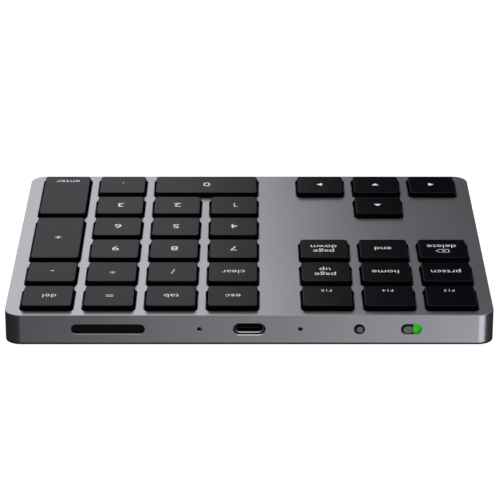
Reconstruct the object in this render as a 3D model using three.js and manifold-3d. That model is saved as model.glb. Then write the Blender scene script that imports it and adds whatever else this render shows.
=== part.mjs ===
// A slim aluminium numeric keypad with 34 scissor-switch keys, a rechargeable battery and a USB-C socket.
// Frame, in millimetres: the user sits at -Y, the ports are on the rear wall at +Y, +X is the user's
// right, +Z is up, and the origin is on the desk under the middle of the body.

import * as THREE from "three";
import { mergeVertices } from "three/addons/utils/BufferGeometryUtils.js";
import Module from "manifold-3d";

const wasm = await Module();
wasm.setup();

// ---- driving dimensions -------------------------------------------------------------------------

const bodyWidth = 149.6;
const bodyDepth = 118.2;
const cornerRadius = 5;
const footHeight = 0.6; // how far the rubber feet stand out under the bottom cover
const coverEdge = 0.5; // edge of the bottom cover that shows below the case
const caseHeight = 9.15;
const wall = 1.6;
const deckThickness = 1.2;
const portWall = 0.9; // the rear wall is milled thinner behind the ports
const gap = 0.05; // left between pieces that touch
const keyPitch = 19;
const keyWindow = 16.8;
const keyBase = 16.3;
const keyTop = 15.4;
const keyRise = 1.6; // key top above the deck
const keyTravel = 1.6;
const rearMargin = 3; // deck between the rear edge and the rear row's windows
const blockGap = 10.2; // extra space between the navigation block and the number block
const wireRadius = 0.3;

// ---- heights, from the desk up ------------------------------------------------------------------

const coverBottom = footHeight;
const coverStep = coverBottom + coverEdge;
const coverFloor = 2.0;
const caseBottom = coverStep + gap;
const deckTop = caseBottom + caseHeight;
const deckUnder = deckTop - deckThickness;
const boardTop = 3.95;
const boardThickness = 1.0;
const portHeight = 5.65; // axis of every port on the rear wall
const plateBottom = 7.45;
const plateTop = plateBottom + 0.3;
const membraneBottom = plateTop + gap;
const membraneTop = membraneBottom + 0.2;
const sheetBottom = membraneTop + gap;
const sheetTop = sheetBottom + 0.2;
const capTop = deckTop + keyRise;
const capCeiling = capTop - 0.9;
const capSkirt = sheetTop + gap + keyTravel;

const rearFace = bodyDepth / 2;
const portInside = rearFace - portWall;

// ---- materials ----------------------------------------------------------------------------------

const finish = (color, roughness, metalness) =>
  new THREE.MeshStandardMaterial({ color, roughness, metalness });
const anodised = finish(0x77787c, 0.4, 1.0);
const coverPaint = finish(0x2a2b2e, 0.55, 0.6);
const keyPlastic = finish(0x17181b, 0.5, 0.0);
const blackPlastic = finish(0x0c0d0f, 0.45, 0.0);
const switchGrey = finish(0x6b6c70, 0.5, 0.2);
const markGreen = finish(0x2fb51f, 0.4, 0.0);
const rubber = finish(0x1c1c1e, 0.85, 0.0);
const steel = finish(0x9a9ca0, 0.3, 1.0);
const springSteel = finish(0xb4b6ba, 0.25, 1.0);
const filmClear = finish(0xb9bfb4, 0.35, 0.0);
const silicone = finish(0xd8dad8, 0.6, 0.0);
const boardGreen = finish(0x14452c, 0.45, 0.0);
const pouch = finish(0xa9abae, 0.35, 0.7);
const leadRed = finish(0x8c1a16, 0.5, 0.0);
const lightPipe = finish(0x222226, 0.15, 0.0);

// ---- solid helpers ------------------------------------------------------------------------------

function toSolid(geometry) {
  const bare = geometry.clone();
  bare.deleteAttribute("normal");
  bare.deleteAttribute("uv");
  const merged = mergeVertices(bare, 1e-4);
  const vertProperties = new Float32Array(merged.attributes.position.array);
  const triVerts = new Uint32Array(merged.index.array);
  return new wasm.Manifold(new wasm.Mesh({ numProp: 3, vertProperties, triVerts }));
}

function toGeometry(solid) {
  const mesh = solid.getMesh();
  const geometry = new THREE.BufferGeometry();
  geometry.setAttribute("position", new THREE.BufferAttribute(new Float32Array(mesh.vertProperties), 3));
  geometry.setIndex(new THREE.BufferAttribute(new Uint32Array(mesh.triVerts), 1));
  return geometry;
}

function join(first, ...rest) {
  return toGeometry(rest.reduce((sum, part) => sum.add(toSolid(part)), toSolid(first)));
}

function cut(body, ...tools) {
  return toGeometry(tools.reduce((left, tool) => left.subtract(toSolid(tool)), toSolid(body)));
}

function roundedRect(width, height, radius, cx = 0, cy = 0) {
  const [x, y] = [width / 2 - radius, height / 2 - radius];
  const shape = new THREE.Shape();
  shape.absarc(cx + x, cy + y, radius, 0, Math.PI / 2);
  shape.absarc(cx - x, cy + y, radius, Math.PI / 2, Math.PI);
  shape.absarc(cx - x, cy - y, radius, Math.PI, 1.5 * Math.PI);
  shape.absarc(cx + x, cy - y, radius, 1.5 * Math.PI, 2 * Math.PI);
  shape.closePath();
  return shape;
}

// A rectangle with its corners cut at 45 degrees, which stands for small corner radii.
function chamferedRect(width, height, corner, cx = 0, cy = 0) {
  const [x, y, c] = [width / 2, height / 2, corner];
  const points = [
    [x, c - y], [x, y - c], [x - c, y], [c - x, y], [-x, y - c], [-x, c - y], [c - x, -y], [x - c, -y],
  ];
  return new THREE.Shape(points.map(([px, py]) => new THREE.Vector2(cx + px, cy + py)));
}

// A plate of the given outline from z0 up to z1. Each corner arc gets twice curveSegments sides.
function slab(shape, z0, z1, curveSegments = 2) {
  const options = { depth: z1 - z0, bevelEnabled: false, curveSegments };
  return new THREE.ExtrudeGeometry(shape, options).translate(0, 0, z0);
}

// The same for an outline drawn in X and Z, from yFront back into the body.
function slabAlongY(shape, yFront, depth, curveSegments = 3) {
  const options = { depth, bevelEnabled: false, curveSegments };
  return new THREE.ExtrudeGeometry(shape, options).rotateX(Math.PI / 2).translate(0, yFront, 0);
}

function block(x0, x1, y0, y1, z0, z1) {
  const box = new THREE.BoxGeometry(x1 - x0, y1 - y0, z1 - z0);
  return box.translate((x0 + x1) / 2, (y0 + y1) / 2, (z0 + z1) / 2);
}

function post(x, y, radius, z0, z1, sides = 12, topRadius = radius) {
  const cylinder = new THREE.CylinderGeometry(topRadius, radius, z1 - z0, sides);
  return cylinder.rotateX(Math.PI / 2).translate(x, y, (z0 + z1) / 2);
}

function rodAlongY(x, z, radius, yBack, yFront, sides = 12) {
  const cylinder = new THREE.CylinderGeometry(radius, radius, yFront - yBack, sides);
  return cylinder.translate(x, (yBack + yFront) / 2, z);
}

// A closed skin through rings of equal point counts. Seen from the first ring, the points run
// anticlockwise and the later rings lie behind.
function loft(rings) {
  const count = rings[0].length;
  const faces = [];
  for (let ring = 0; ring + 1 < rings.length; ring++) {
    for (let i = 0; i < count; i++) {
      const a = ring * count + i;
      const b = ring * count + ((i + 1) % count);
      faces.push(a, a + count, b, b, a + count, b + count);
    }
  }
  const last = (rings.length - 1) * count;
  for (let i = 1; i + 1 < count; i++) {
    faces.push(0, i, i + 1);
    faces.push(last, last + i + 1, last + i);
  }
  const geometry = new THREE.BufferGeometry().setFromPoints(rings.flat());
  geometry.setIndex(faces);
  return geometry;
}

// A round rod through a list of points.
function sweptRod(points, radius, sides) {
  let side = new THREE.Vector3();
  const rings = points.map((point, i) => {
    const before = points[Math.max(i - 1, 0)];
    const after = points[Math.min(i + 1, points.length - 1)];
    const along = after.clone().sub(before).normalize();
    side = i === 0 ? new THREE.Vector3(0, 0, 1).cross(along) : side.addScaledVector(along, -side.dot(along));
    side.normalize();
    const up = side.clone().cross(along);
    return Array.from({ length: sides }, (_, k) => {
      const angle = (2 * Math.PI * k) / sides;
      const offset = side.clone().multiplyScalar(radius * Math.cos(angle));
      return offset.addScaledVector(up, radius * Math.sin(angle)).add(point);
    });
  });
  return loft(rings);
}

// Points of a path with straight runs and rounded corners.
function roundedPath(corners, bend) {
  const points = [corners[0]];
  for (let i = 1; i + 1 < corners.length; i++) {
    const at = corners[i];
    const start = corners[i - 1].clone().sub(at).setLength(bend).add(at);
    const end = corners[i + 1].clone().sub(at).setLength(bend).add(at);
    points.push(...new THREE.QuadraticBezierCurve3(start, at, end).getPoints(2));
  }
  return [...points, corners.at(-1)];
}

// ---- key layout ---------------------------------------------------------------------------------

const columnSpan = 6 * keyPitch + blockGap;
const columnX = (column) => -columnSpan / 2 + column * keyPitch + (column > 2 ? blockGap : 0);
const rowY = (row) => rearFace - rearMargin - keyWindow / 2 - row * keyPitch;

// name, first column from the left, first row from the rear, columns wide, rows deep
const keys = [
  ["f13", 0, 0], ["f14", 1, 0], ["f15", 2, 0],
  ["escape", 3, 0], ["tab", 4, 0], ["equals", 5, 0], ["delete", 6, 0],
  ["print_screen", 0, 1], ["home", 1, 1], ["page_up", 2, 1],
  ["clear", 3, 1], ["divide", 4, 1], ["multiply", 5, 1], ["minus", 6, 1],
  ["forward_delete", 0, 2], ["end", 1, 2], ["page_down", 2, 2],
  ["7", 3, 2], ["8", 4, 2], ["9", 5, 2], ["plus", 6, 2, 1, 2],
  ["4", 3, 3], ["5", 4, 3], ["6", 5, 3],
  ["arrow_up", 1, 4], ["1", 3, 4], ["2", 4, 4], ["3", 5, 4], ["enter", 6, 4, 1, 2],
  ["arrow_left", 0, 5], ["arrow_down", 1, 5], ["arrow_right", 2, 5],
  ["0", 3, 5, 2, 1], ["decimal", 5, 5],
].map(([name, column, row, wide = 1, deep = 1]) => ({
  name: `key_${name}`,
  x: (columnX(column) + columnX(column + wide - 1)) / 2,
  y: (rowY(row) + rowY(row + deep - 1)) / 2,
  extraX: (wide - 1) * keyPitch,
  extraY: (deep - 1) * keyPitch,
}));

// ---- stabiliser wires under the long keys -------------------------------------------------------

const wireBarOffset = 4.6; // the bar, clipped to the key, from the key's centre line
const wireHingeOffset = -0.4; // the tips, hooked to the plate
const wireHalfSpan = 13.5;
const wireTip = 1.6;
const wireHingeZ = 8.6;
const wireBarZ = capCeiling - 0.1 - wireRadius;

// Bar, two arms and two inward tips, drawn for a key that is long in X.
function stabiliserWire() {
  const hinge = (x) => new THREE.Vector3(x, wireHingeOffset, wireHingeZ);
  const bar = (x) => new THREE.Vector3(x, wireBarOffset, wireBarZ);
  const corners = [
    hinge(wireTip - wireHalfSpan),
    hinge(-wireHalfSpan),
    bar(-wireHalfSpan),
    bar(wireHalfSpan),
    hinge(wireHalfSpan),
    hinge(wireHalfSpan - wireTip),
  ];
  return sweptRod(roundedPath(corners, 0.8), wireRadius, 6);
}

const longKeys = keys.filter((key) => key.extraX + key.extraY > 0);

// Places a geometry drawn for a key that is long in X at one of the long keys.
function atLongKey(geometry, key) {
  return geometry.rotateZ(key.extraY > 0 ? -Math.PI / 2 : 0).translate(key.x, key.y, 0);
}

// ---- screw bosses and plate supports ------------------------------------------------------------

const blockGapX = (columnX(2) + columnX(3)) / 2;
const sideBossX = bodyWidth / 2 - wall - 1;
const bosses = [rowY(0.5), rowY(4.5)].flatMap((y) => [
  { x: -sideBossX, y, radius: 1.3 },
  { x: blockGapX, y, radius: 2.2 },
  { x: sideBossX, y, radius: 1.3 },
]);
const screwHoleRadius = 0.8;
const screwHeadRadius = 1.5;
const pilotHoleRadius = 0.55;
const plateSupports = [
  [-52, rowY(2.5)],
  [-52, rowY(4.5)],
  [blockGapX, rowY(2.5)],
  [blockGapX, rowY(5)],
  [62, rowY(1.6)],
  [62, rowY(4.5)],
];

// ---- the case -----------------------------------------------------------------------------------

const ports = {
  usb: { x: 0, width: 9.7, height: 3.7 },
  antenna: { x: 43.15, width: 22.5, height: 3.15 },
  lights: [-15.6, 15.2],
  pairing: { x: -33.6, radius: 1.5 },
  power: { x: -49.45, width: 6.1, height: 3 },
};
const lightHoleRadius = 0.55;
const portBand = { halfWidth: 62, bottom: 3.0, top: 8.4 };

const stadium = (width, height, cx = 0, cy = 0) => roundedRect(width, height, height / 2 - 0.01, cx, cy);

const keyWindowOutline = (key) =>
  chamferedRect(keyWindow + key.extraX, keyWindow + key.extraY, 0.8, key.x, key.y);

function topCase() {
  const outside = slab(roundedRect(bodyWidth, bodyDepth, cornerRadius), caseBottom, deckTop, 3);
  const inner = roundedRect(bodyWidth - 2 * wall, bodyDepth - 2 * wall, cornerRadius - wall);
  const tub = cut(outside, slab(inner, caseBottom - 1, deckUnder, 2));
  const posts = bosses.map(({ x, y, radius }) => post(x, y, radius, coverFloor + gap, deckUnder + 0.2, 8));
  const pilotHoles = bosses.map(({ x, y }) => post(x, y, pilotHoleRadius, 0, 7, 6));
  const windows = keys.map((key) => slab(keyWindowOutline(key), deckUnder - 1, deckTop + 1));
  const portPocket = block(
    -portBand.halfWidth, portBand.halfWidth, rearFace - wall - 1, portInside, portBand.bottom, portBand.top,
  );
  return cut(join(tub, ...posts), portPocket, ...pilotHoles, ...windows, ...portHoles());
}

function portHoles() {
  const depth = wall + 1;
  const front = rearFace + 0.5;
  return [
    slabAlongY(stadium(ports.usb.width, ports.usb.height, ports.usb.x, portHeight), front, depth),
    slabAlongY(stadium(ports.antenna.width, ports.antenna.height, ports.antenna.x, portHeight), front, depth),
    slabAlongY(stadium(ports.power.width, ports.power.height, ports.power.x, portHeight), front, depth),
    rodAlongY(ports.pairing.x, portHeight, ports.pairing.radius, front - depth, front, 16),
    ...ports.lights.map((x) => rodAlongY(x, portHeight, lightHoleRadius, front - depth, front, 8)),
  ];
}

const footX = 60;
const footY = 48;
const feet = [
  ["foot_front_left", -footX, -footY],
  ["foot_front_right", footX, -footY],
  ["foot_rear_left", -footX, footY],
  ["foot_rear_right", footX, footY],
];
const footRadius = 5.5;
const footRecess = 0.4;

function bottomCover() {
  const flangeOutline = roundedRect(bodyWidth - 0.3, bodyDepth - 0.3, cornerRadius - 0.15);
  const flange = slab(flangeOutline, coverBottom, coverStep, 3);
  const inset = 2 * wall + 0.4;
  const trayOutline = roundedRect(bodyWidth - inset, bodyDepth - inset, cornerRadius - wall);
  const tray = slab(trayOutline, coverStep - 0.1, coverFloor, 2);
  const root = coverFloor - 0.1;
  const boardPosts = [-50, -22, 22, 52].map((x) => post(x, 44, 1.5, root, boardBottom - gap, 6));
  const supports = plateSupports.map(([x, y]) => post(x, y, 1.8, root, plateBottom - gap, 6));
  const footRecesses = feet.map(([, x, y]) => post(x, y, footRadius + 0.15, 0, coverBottom + footRecess, 16));
  const screwHoles = bosses.flatMap(({ x, y }) => [
    post(x, y, screwHoleRadius, 0, 3, 6),
    post(x, y, screwHeadRadius, coverBottom - 0.1, coverBottom + 0.6, 8),
  ]);
  return cut(join(flange, tray, ...boardPosts, ...supports), ...footRecesses, ...screwHoles);
}

// ---- keys ---------------------------------------------------------------------------------------

const capWall = 0.8;

function keycap({ extraX, extraY }) {
  const ring = (size, corner, z) => {
    const outline = chamferedRect(size + extraX, size + extraY, corner).getPoints().slice(0, 8);
    return outline.map((p) => new THREE.Vector3(p.x, p.y, z));
  };
  const shell = loft([
    ring(keyTop, 0.8, capTop),
    ring(keyBase, 0.8, capSkirt),
    ring(keyBase - 2 * capWall, 0.6, capSkirt),
    ring(keyTop - 2 * capWall, 0.6, capCeiling),
  ]);
  if (extraX + extraY === 0) {
    return shell;
  }
  const clip = (x, y) => block(x - 1.2, x + 1.2, y - 0.3, y + 0.3, capCeiling - 0.7, capCeiling + 0.2);
  const clips = [-9.5, 9.5].flatMap((x) => [clip(x, wireBarOffset - 0.75), clip(x, wireBarOffset + 1.15)]);
  return join(shell, ...clips.map((geometry) => (extraY > 0 ? geometry.rotateZ(-Math.PI / 2) : geometry)));
}

// ---- key mechanism sheets -----------------------------------------------------------------------

const sheetOutline = () =>
  chamferedRect(bodyWidth - 2 * wall - 0.6, bodyDepth - 2 * wall - 0.6, cornerRadius - wall);
const tail = { x: blockGapX - 0.8, width: 7, y: 43.5, low: 5.1 };
const hooks = longKeys.flatMap((key) => [-1, 1].map((side) => ({ key, x: side * (wireHalfSpan - 1.3) })));
const hookTop = 9.35;

// A box around each hook, drawn for a key that is long in X.
const aroundHooks = (halfX, halfY, z0, z1) =>
  hooks.map(({ key, x }) =>
    atLongKey(block(x - halfX, x + halfX, wireHingeOffset - halfY, wireHingeOffset + halfY, z0, z1), key),
  );
const bossClearance = () => bosses.map(({ x, y, radius }) => post(x, y, radius + 0.2, 5, 10, 8));
const tailClearance = () =>
  block(tail.x - tail.width / 2 - 0.8, tail.x + tail.width / 2 + 0.8, tail.y, tail.y + 8, 5, 10);

function supportPlate() {
  const plate = cut(slab(sheetOutline(), plateBottom, plateTop), ...bossClearance(), tailClearance());
  const eye = (x) => new THREE.CylinderGeometry(0.42, 0.42, 2, 8).rotateZ(Math.PI / 2).translate(x, 0, 0);
  const eyes = hooks.map(({ key, x }) => atLongKey(eye(x).translate(0, wireHingeOffset, wireHingeZ), key));
  return cut(join(plate, ...aroundHooks(0.35, 0.9, plateTop - 0.1, hookTop)), ...eyes);
}

function membraneCircuit() {
  const film = slab(sheetOutline(), membraneBottom, membraneTop);
  const openings = [...bossClearance(), ...aroundHooks(0.7, 1.3, 5, 10), tailClearance()];
  const side = new THREE.Shape();
  const thick = membraneTop - membraneBottom;
  side.moveTo(tail.y - 1, membraneBottom);
  side.lineTo(tail.y + 1.5, membraneBottom);
  side.lineTo(tail.y + 4.5, tail.low);
  side.lineTo(tail.y + 6.5, tail.low);
  side.lineTo(tail.y + 6.5, tail.low + thick);
  side.lineTo(tail.y + 4.65, tail.low + thick);
  side.lineTo(tail.y + 1.65, membraneTop);
  side.lineTo(tail.y - 1, membraneTop);
  side.closePath();
  const ribbon = new THREE.ExtrudeGeometry(side, { depth: tail.width, bevelEnabled: false });
  ribbon.rotateY(Math.PI / 2).rotateX(Math.PI / 2).translate(tail.x - tail.width / 2, 0, 0);
  return join(cut(film, ...openings), ribbon);
}

function domeSheet() {
  const sheet = slab(sheetOutline(), sheetBottom, sheetTop);
  const openings = [...bossClearance(), ...aroundHooks(0.7, 1.3, 5, 10), tailClearance()];
  const sides = 6;
  const domes = keys.map(({ x, y }) => post(x, y, 2.9, sheetBottom + 0.05, capCeiling - gap, sides, 1.4));
  const hollows = keys.map(({ x, y }) => post(x, y, 2.6, sheetBottom - 0.4, capCeiling - 1.2, sides, 1.0));
  return cut(join(cut(sheet, ...openings), ...domes), ...hollows);
}

// ---- electronics --------------------------------------------------------------------------------

const boardRear = rearFace - 2.1;
const boardFront = boardRear - 15.6;
const boardBottom = boardTop - boardThickness;
const usbMouth = portInside;
const usbWidth = 8.94;
const usbHeight = 3.26;
const usbLength = 7.3;
const usbWall = 0.3;
const tongueThickness = 0.7;

function mainBoard() {
  const board = block(-58, 60, boardFront, boardRear, boardBottom, boardTop);
  const ribbonSocket = block(tail.x - 4.4, tail.x + 4.4, 48.6, 52.4, boardTop - 0.1, 6.0);
  const ribbonMouth = block(tail.x - 3.8, tail.x + 3.8, 48, 50.6, 4.9, 5.6);
  const leadSocket = block(26, 32, boardFront + 0.5, boardFront + 4.5, boardTop - 0.1, 6.2);
  const leadMouth = block(27, 31, boardFront - 1, boardFront + 3.2, 4.5, 5.9);
  return cut(join(board, ribbonSocket, leadSocket), ribbonMouth, leadMouth);
}

function usbShell() {
  const z = portHeight;
  const outer = slabAlongY(stadium(usbWidth, usbHeight, 0, z), usbMouth, usbLength);
  const inner = stadium(usbWidth - 2 * usbWall, usbHeight - 2 * usbWall, 0, z);
  return cut(outer, slabAlongY(inner, usbMouth + 1, usbLength + 1 - usbWall));
}

function usbTongue() {
  const z = portHeight;
  const play = 0.06;
  const back = usbMouth - usbLength + usbWall + play;
  const inside = stadium(usbWidth - 2 * usbWall - 2 * play, usbHeight - 2 * usbWall - 2 * play, 0, z);
  const insulator = slabAlongY(inside, back + 1.4, 1.4);
  const tongue = roundedRect(6.69, tongueThickness, 0.2, 0, z);
  return join(insulator, slabAlongY(tongue, usbMouth - 0.6, usbMouth - 0.6 - back - 0.5, 1));
}

function lightPipeAt(x) {
  const rod = rodAlongY(x, portHeight, 0.45, rearFace - 4.6, rearFace - 0.35, 8);
  const foot = block(x - 1, x + 1, rearFace - 6.4, rearFace - 4.4, boardTop + gap, portHeight + 0.6);
  return join(rod, foot);
}

function antennaWindow() {
  const { x, width, height } = ports.antenna;
  return slabAlongY(roundedRect(width + 2.2, height + 1.2, 1.2, x, portHeight), portInside - gap, 0.9, 2);
}

const pairingFront = rearFace - 0.5;

function pairingButton() {
  const { x, radius } = ports.pairing;
  const cap = rodAlongY(x, portHeight, radius - 0.35, portInside - 0.4, pairingFront, 16);
  const [flangeBack, flangeFront] = [portInside - 0.8, portInside - 0.2];
  const flange = block(x - 2.4, x + 2.4, flangeBack, flangeFront, portHeight - 1.6, portHeight + 1.6);
  const stem = rodAlongY(x, portHeight, 0.7, portInside - 3.0, portInside - 0.7, 8);
  return join(cap, flange, stem);
}

function pairingSwitchBody() {
  const { x } = ports.pairing;
  const front = portInside - 2.0;
  const body = block(x - 2.6, x + 2.6, front - 3.4, front, boardTop + gap, 7.3);
  return cut(body, rodAlongY(x, portHeight, 0.95, front - 1.8, front + 1, 12));
}

const knobWidth = 3.3;
const powerTravel = 2.2;
const knobX = ports.power.x + (ports.power.width - knobWidth) / 2 - 0.4;
const sliderBack = portInside - 0.9;
const sliderFront = portInside - 0.25;

function powerSwitchSlider() {
  const knobFront = rearFace - 0.4;
  const knobOutline = stadium(knobWidth, 2.6, knobX, portHeight);
  const knob = slabAlongY(knobOutline, knobFront, knobFront - sliderBack);
  const [low, high] = [portHeight - 2.2, portHeight + 2.2];
  const plate = block(knobX - 6.0, knobX + 4.6, sliderBack, sliderFront, low, high);
  const [tabLow, tabHigh] = [portHeight - 0.5, portHeight + 0.5];
  const tab = block(knobX - 0.6, knobX + 0.6, sliderBack - 1.2, sliderBack + 0.1, tabLow, tabHigh);
  return join(knob, plate, tab);
}

// A green strip stuck on the slider's plate beside the knob. It shows in the slot in one position.
function powerOnMark() {
  const right = knobX - knobWidth / 2 - gap;
  const [back, front] = [sliderFront + 0.02, portInside - gap];
  return block(right - 3.2, right, back, front, portHeight - 2.0, portHeight + 2.0);
}

function powerSwitchBody() {
  const front = sliderBack - gap;
  const body = block(knobX - 5.6, knobX + 3.2, front - 3.4, front, boardTop + gap, 7.35);
  const [low, high] = [portHeight - 0.7, portHeight + 0.7];
  const slot = block(knobX - 0.8 - powerTravel, knobX + 0.8, front - 1.4, front + 1, low, high);
  return cut(body, slot);
}

function controllerChip() {
  return slab(roundedRect(6, 6, 0.2, 12, 49.5), boardTop + gap, boardTop + 0.95, 1);
}

const battery = { x0: 4, x1: 54, y0: -20, y1: 20, z0: coverFloor + gap, z1: coverFloor + 3.3 };

function batteryPouch() {
  const { x0, x1, y0, y1, z0, z1 } = battery;
  const [cx, cy] = [(x0 + x1) / 2, (y0 + y1) / 2];
  const body = slab(roundedRect(x1 - x0, y1 - y0, 1.5, cx, cy), z0, z1, 1);
  const seam = block(x0 + 2, x1 - 2, y1 - 0.5, y1 + 3, z0 + 1.2, z0 + 2.0);
  return join(body, seam);
}

// The two insulated wires in one sleeve, and the plug that sits in the board's lead socket.
function batteryLead() {
  const x = 29;
  const [start, rise] = [battery.y1 + 3.3, battery.y1 + 6];
  const route = [[x, start, 3.6], [x, rise, 3.6], [x, boardFront - 5, 5.2], [x, boardFront + 0.4, 5.2]];
  const wires = sweptRod(roundedPath(route.map((p) => new THREE.Vector3(...p)), 1.5), 0.6, 8);
  return join(wires, block(x - 1.7, x + 1.7, boardFront - 0.2, boardFront + 2.9, 4.7, 5.7));
}

// ---- the assembly -------------------------------------------------------------------------------

const keypad = new THREE.Group();

function add(name, geometry, material, parent = keypad) {
  const mesh = new THREE.Mesh(geometry, material);
  mesh.name = name;
  parent.add(mesh);
  return mesh;
}

add("top_case", topCase(), anodised);
add("bottom_cover", bottomCover(), coverPaint);
for (const [name, x, y] of feet) {
  add(name, post(0, 0, footRadius, 0, coverBottom + footRecess - gap, 24), rubber).position.set(x, y, 0);
}

for (const key of keys) {
  add(key.name, keycap(key), keyPlastic).position.set(key.x, key.y, 0);
}
for (const key of longKeys) {
  const wire = add(key.name.replace("key_", "stabiliser_wire_"), stabiliserWire(), springSteel);
  wire.rotation.z = key.extraY > 0 ? -Math.PI / 2 : 0;
  wire.position.set(key.x, key.y, 0);
}

add("dome_sheet", domeSheet(), silicone);
add("membrane_circuit", membraneCircuit(), filmClear);
add("support_plate", supportPlate(), steel);

add("main_board", mainBoard(), boardGreen);
add("controller_chip", controllerChip(), blackPlastic);
add("usb_c_shell", usbShell(), steel);
add("usb_c_tongue", usbTongue(), blackPlastic);
add("charge_light_pipe", lightPipeAt(ports.lights[1]), lightPipe);
add("status_light_pipe", lightPipeAt(ports.lights[0]), lightPipe);
add("antenna_window", antennaWindow(), blackPlastic);
add("pairing_button", pairingButton(), switchGrey);
add("pairing_switch_body", pairingSwitchBody(), blackPlastic);
add("power_switch_slider", powerSwitchSlider(), switchGrey);
add("power_on_mark", powerOnMark(), markGreen);
add("power_switch_body", powerSwitchBody(), steel);
add("battery_pouch", batteryPouch(), pouch);
add("battery_lead", batteryLead(), leadRed);

export default keypad;
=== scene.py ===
"""The looks of a slim aluminium numeric keypad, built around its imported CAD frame.

Shapes are worked out in millimetres and scaled to metres when a piece is made. The user sits at -Y,
the ports are on the rear wall at +Y, and the camera looks at that wall from behind and above.
"""

import math

import bmesh
import bpy
from mathutils import Matrix, Vector
from mathutils.geometry import delaunay_2d_cdt


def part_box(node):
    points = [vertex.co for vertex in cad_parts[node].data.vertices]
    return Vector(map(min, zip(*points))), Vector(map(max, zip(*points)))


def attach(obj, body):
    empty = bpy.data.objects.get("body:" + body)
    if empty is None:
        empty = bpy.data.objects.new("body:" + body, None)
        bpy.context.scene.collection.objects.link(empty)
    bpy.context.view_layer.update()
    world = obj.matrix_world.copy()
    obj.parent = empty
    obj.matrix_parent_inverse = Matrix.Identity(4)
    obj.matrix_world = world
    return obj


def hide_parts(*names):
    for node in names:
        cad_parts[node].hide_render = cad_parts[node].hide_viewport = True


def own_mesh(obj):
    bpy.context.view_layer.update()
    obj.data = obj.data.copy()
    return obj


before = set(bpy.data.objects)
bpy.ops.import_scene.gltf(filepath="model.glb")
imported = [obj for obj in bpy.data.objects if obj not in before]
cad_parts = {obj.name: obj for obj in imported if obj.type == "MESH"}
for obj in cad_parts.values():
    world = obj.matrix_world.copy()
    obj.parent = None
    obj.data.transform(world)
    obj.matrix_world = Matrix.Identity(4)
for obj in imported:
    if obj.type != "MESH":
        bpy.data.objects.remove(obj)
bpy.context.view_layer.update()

MM = 0.001
MICRON = 0.000001


def box_mm(node):
    """Lowest and highest corner of a CAD node, in millimetres."""
    low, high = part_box(node)
    return low / MM, high / MM


# ---- sizes -----------------------------------------------

CASE_LOW, CASE_HIGH = box_mm("top_case")
COVER_LOW = box_mm("bottom_cover")[0]
SHEET_LOW, SHEET_HIGH = box_mm("dome_sheet")
BODY_WIDTH = CASE_HIGH.x - CASE_LOW.x
BODY_DEPTH = CASE_HIGH.y - CASE_LOW.y
DECK_TOP = CASE_HIGH.z
CASE_BOTTOM = CASE_LOW.z
REAR_FACE = CASE_HIGH.y
CORNER_RADIUS = 5.0
WALL = 1.6
DECK_THICKNESS = 1.2
PORT_WALL = 0.9
PORT_INSIDE = REAR_FACE - PORT_WALL
PORT_HEIGHT = 5.65
# the part of the rear wall that is milled thinner: half its width, its bottom and its top
BAND_HALF_WIDTH, BAND_BOTTOM, BAND_TOP = 62.0, 3.0, 8.4
KEY_WINDOW = 16.8
KEY_BASE = 16.3
KEY_TOP = 15.1
KEY_PITCH = 19.0
CAP_TOP = box_mm("key_7")[1].z
CAP_SKIRT = box_mm("key_7")[0].z
CAP_CEILING = CAP_TOP - 0.9
PRINT_THICKNESS = 0.02
CAP_FACE = CAP_TOP - PRINT_THICKNESS
SHEET_TOP = SHEET_LOW.z + 0.2
DOME_HOLE_RADIUS = 2.45
WIRE_BAR_OFFSET = 4.6
WIRE_HINGE_OFFSET = -0.4
WIRE_HALF_SPAN = 13.5
WIRE_TIP = 1.6
WIRE_RADIUS = 0.3
WIRE_HINGE_Z = 8.6
WIRE_BAR_Z = CAP_CEILING - 0.1 - WIRE_RADIUS

USB_SIZE = (9.7, 3.7)
USB_CHAMFER = 0.16
ANTENNA_X = 43.15
ANTENNA_SIZE = (22.5, 3.15)
LIGHT_X = (-15.6, 15.2)
LIGHT_HOLE_RADIUS = 0.63
PAIRING_X = -33.6
PAIRING_RADIUS = 1.68
POWER_X = -49.45
POWER_SIZE = (6.3, 3.4)
COVER_STEP = COVER_LOW.z + 0.5
COVER_FLOOR = 2.0
FOOT_RADIUS = 5.5
FEET = ("front_left", "front_right", "rear_left", "rear_right")
FOOT_RECESS = 0.4
SCREW_HEAD_RECESS = 0.6

# What each keycap says: the lines of its legend, from the rear of the key to its front.
LEGENDS = {
    "f13": ["F13"], "f14": ["F14"], "f15": ["F15"],
    "escape": ["esc"], "tab": ["tab"], "equals": ["="], "delete": ["del"],
    "print_screen": ["prtscn"], "home": ["home"], "page_up": ["page", "up"],
    "clear": ["clear"], "divide": ["/"], "multiply": ["*"], "minus": ["-"],
    "forward_delete": ["delete"], "end": ["end"], "page_down": ["page", "down"],
    "7": ["7"], "8": ["8"], "9": ["9"], "plus": ["+"],
    "4": ["4"], "5": ["5"], "6": ["6"],
    "arrow_up": [], "1": ["1"], "2": ["2"], "3": ["3"], "enter": ["enter"],
    "arrow_left": [], "arrow_down": [], "arrow_right": [], "0": ["0"], "decimal": ["."],
}
KEYS = list(LEGENDS)


# ---- outlines --------------------------------------------


def rounded_rect(width, depth, radius, steps=8, centre=(0.0, 0.0)):
    """Points of a rounded rectangle, anticlockwise, with steps sides on each corner arc."""
    points = []
    for quarter, (sx, sy) in enumerate([(1, 1), (-1, 1), (-1, -1), (1, -1)]):
        cx = centre[0] + sx * (width / 2 - radius)
        cy = centre[1] + sy * (depth / 2 - radius)
        for step in range(steps + 1):
            angle = (quarter + step / steps) * math.pi / 2
            points.append((cx + radius * math.cos(angle), cy + radius * math.sin(angle)))
    return points


def circle(radius, centre=(0.0, 0.0), steps=28):
    turns = [2 * math.pi * step / steps for step in range(steps)]
    return [(centre[0] + radius * math.cos(turn), centre[1] + radius * math.sin(turn)) for turn in turns]


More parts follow.
